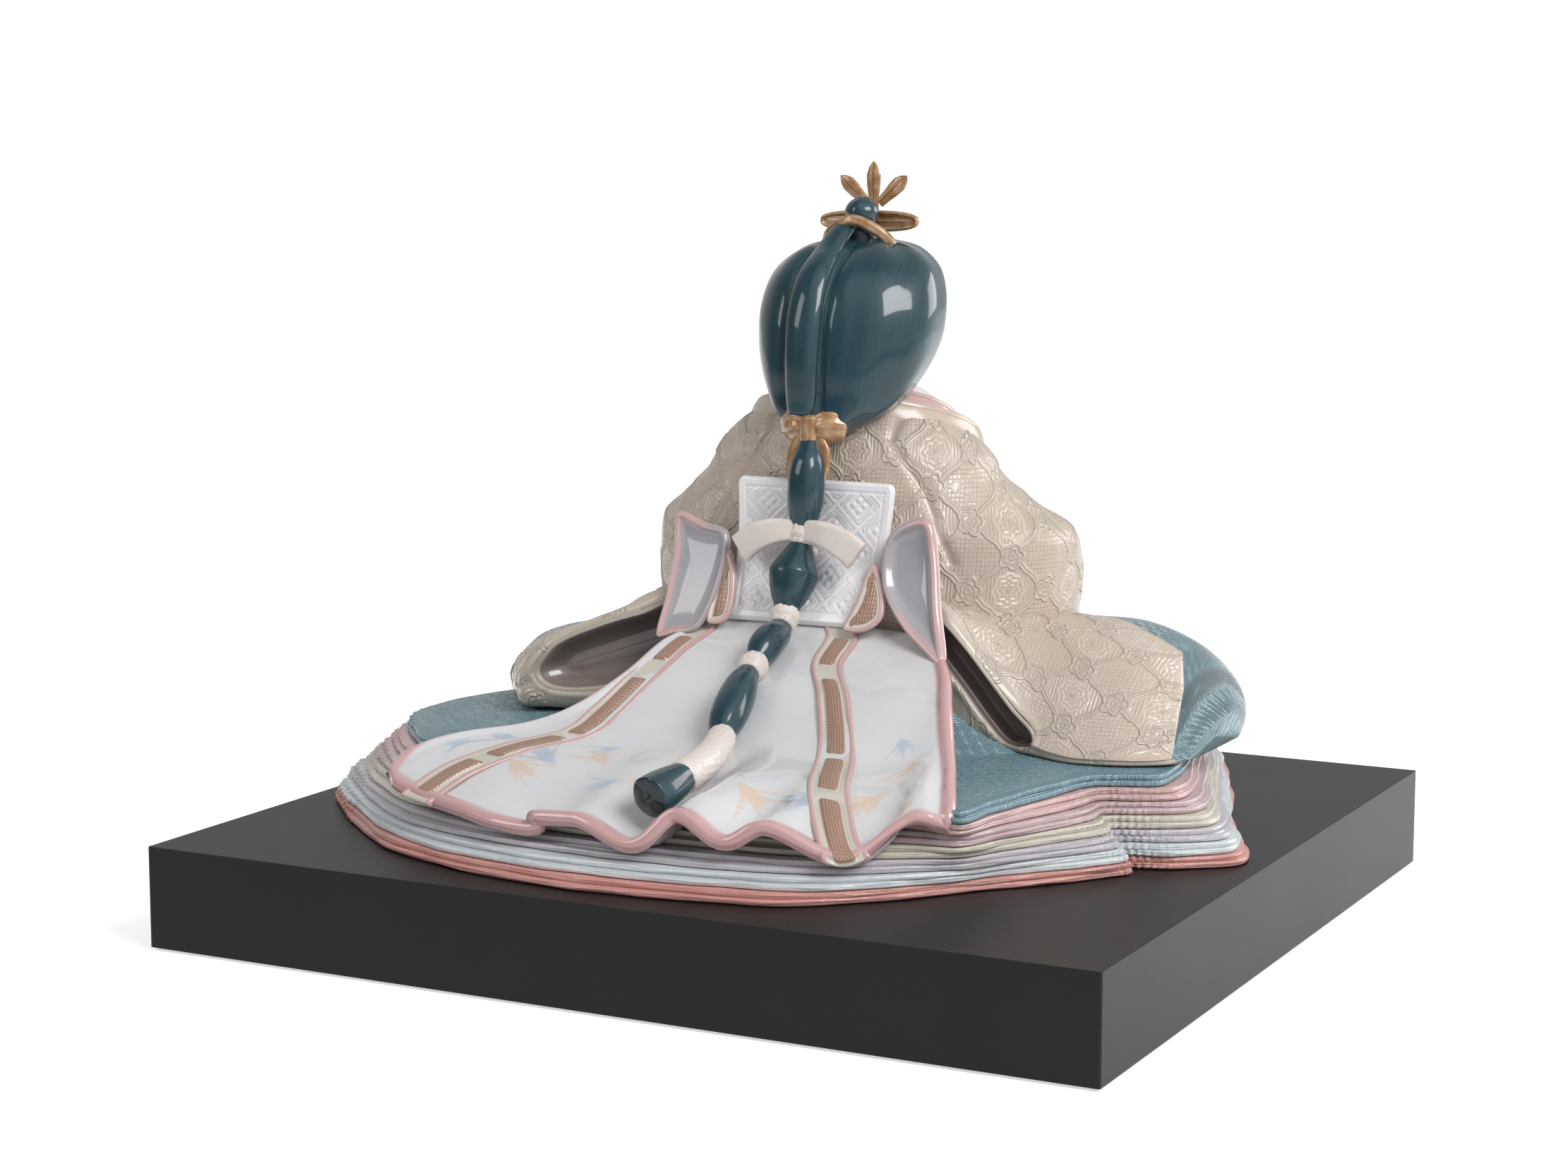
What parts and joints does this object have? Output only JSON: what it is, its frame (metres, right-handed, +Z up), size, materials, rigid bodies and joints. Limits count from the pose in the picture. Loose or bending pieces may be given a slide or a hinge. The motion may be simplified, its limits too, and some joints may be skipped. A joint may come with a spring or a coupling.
{
  "type": "porcelain hina doll on a plinth",
  "caption": "Porcelain hina court-lady doll seated on spread, layered robes with long bound hair, on a square black lacquered plinth it lifts off.",
  "frame": {"origin": "middle of the plinth, on the plane that its felt pads stand on", "axes": "+Z up; the doll faces -Y, so its back and the train are on +Y and its right hand on -X"},
  "size_m": [0.384, 0.357, 0.2939],
  "materials": {
    "beige": "opaque glazed porcelain, beige with relief",
    "blue": "opaque glazed porcelain, grey blue with relief",
    "brown": "opaque glazed porcelain, brown with hatching",
    "coral": "opaque glazed porcelain, coral",
    "cream": "opaque glazed porcelain, cream",
    "felt": "dark felt",
    "gold": "opaque porcelain with ochre gilt lustre",
    "grey": "opaque glazed porcelain, lilac grey",
    "lacquer": "satin black lacquer",
    "mauve": "opaque glazed porcelain, mauve",
    "pale_blue": "opaque glazed porcelain, pale blue",
    "paper": "opaque porcelain, off-white, textured",
    "rose": "opaque glazed porcelain, rose",
    "skin": "opaque glazed porcelain, pale skin",
    "teal": "opaque glazed porcelain, deep teal",
    "white": "opaque glazed porcelain, white"
  },
  "bodies": {
    "plinth_board": {"felt_pad_back_left": "felt", "felt_pad_back_right": "felt", "felt_pad_front_left": "felt", "felt_pad_front_right": "felt", "plinth": "lacquer"},
    "figure": {"back_panel": "white", "collar_inner_white": "white", "collar_middle_rose": "rose", "collar_outer_beige": "beige", "crown_leaf_centre": "gold", "crown_leaf_left": "gold", "crown_leaf_right": "gold", "crown_plate": "gold", "crown_stem": "gold", "cuff_left": "rose", "cuff_right": "rose", "fan_leaf": "cream", "fan_pin": "gold", "hair": "teal", "hair_strand": "teal", "hand_left": "skin", "hand_right": "skin", "head": "skin", "hem_1_coral": "coral", "hem_2_pale_blue": "pale_blue", "hem_3_grey": "grey", "hem_4_cream": "cream", "hem_5_mauve": "mauve", "hem_6_rose": "rose", "jacket": "beige", "jacket_sleeve_left": "beige", "jacket_sleeve_right": "beige", "nape_bow": "gold", "over_robe": "blue", "paper_bow_knot": "paper", "paper_ring_lower": "paper", "paper_ring_upper": "paper", "paper_wing_left": "paper", "paper_wing_right": "paper", "paper_wrap": "paper", "ribbon_left": "brown", "ribbon_right": "brown", "ribbon_tab_left": "brown", "ribbon_tab_right": "brown", "robe_sleeve_left": "blue", "robe_sleeve_right": "blue", "sleeve_lining_left": "mauve", "sleeve_lining_right": "mauve", "tail_end": "teal", "tail_lock_1": "teal", "tail_lock_2": "teal", "tail_lock_3": "teal", "tail_lock_4": "teal", "tail_tassel": "teal", "topknot": "teal", "topknot_band": "gold", "train": "white", "waist_bow_left": "white", "waist_bow_right": "white"}
  },
  "joints": [
    {"name": "figure_lift", "type": "slide", "parent": "plinth_board", "child": "figure", "axis": [0, 0, 1], "range_m": [0, 0.1]}
  ]
}
